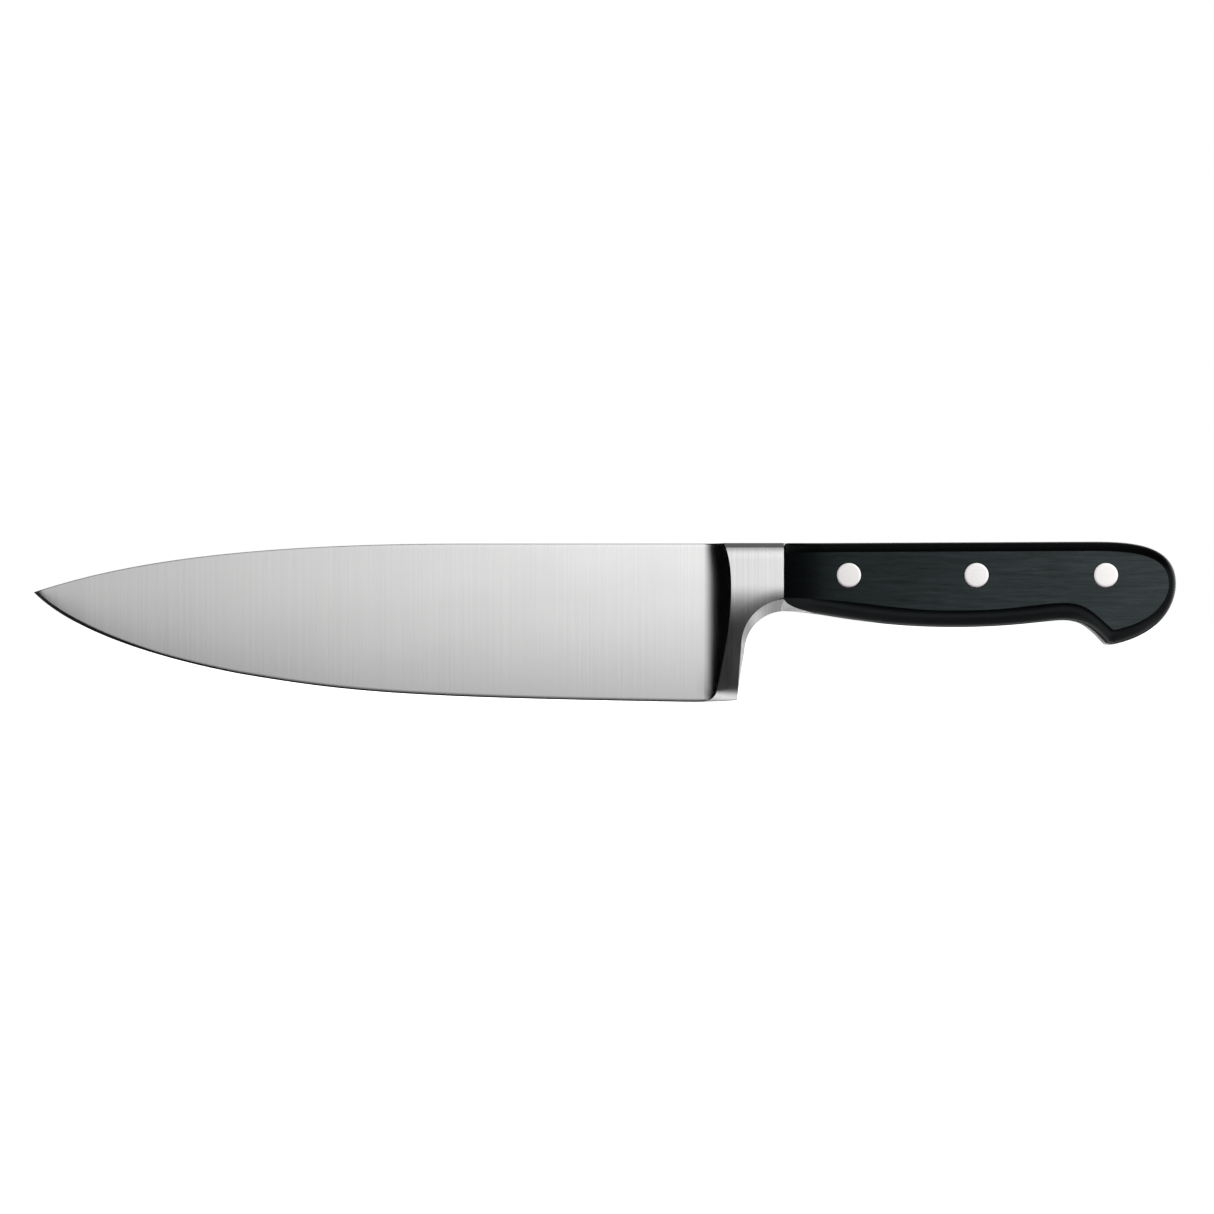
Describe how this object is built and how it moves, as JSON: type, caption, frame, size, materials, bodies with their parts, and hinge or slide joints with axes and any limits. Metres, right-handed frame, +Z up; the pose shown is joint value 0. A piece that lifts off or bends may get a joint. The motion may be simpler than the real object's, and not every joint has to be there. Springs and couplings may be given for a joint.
{
  "type": "chef knife",
  "caption": "Forged chef's knife: wide curved blade, full bolster and full tang between two black handle scales held by flush rivets.",
  "frame": {"origin": "on the centre plane of the knife's thickness, half way along its overall length, at the level of the lowest point of the cutting edge", "axes": "+X from the blade's tip towards the handle's butt, +Y through the thickness towards the right-hand side (seen by a user who holds the knife edge down and tip away), +Z up from the cutting edge to the spine"},
  "size_m": [0.3302, 0.0176, 0.0464],
  "materials": {
    "satin_steel": "satin ground across the blade, polished edge and bolster relief",
    "black_polymer": "black moulded polymer with fine lengthwise sanding lines and polished edges",
    "rivet_steel": "ground flush and lightly polished"
  },
  "bodies": {
    "root": {"blade_forging": "satin_steel", "scale_left": "black_polymer", "scale_right": "black_polymer", "rivet_sleeve_front": "rivet_steel", "rivet_sleeve_middle": "rivet_steel", "rivet_sleeve_rear": "rivet_steel", "rivet_pin_front": "rivet_steel", "rivet_pin_middle": "rivet_steel", "rivet_pin_rear": "rivet_steel"}
  },
  "joints": []
}
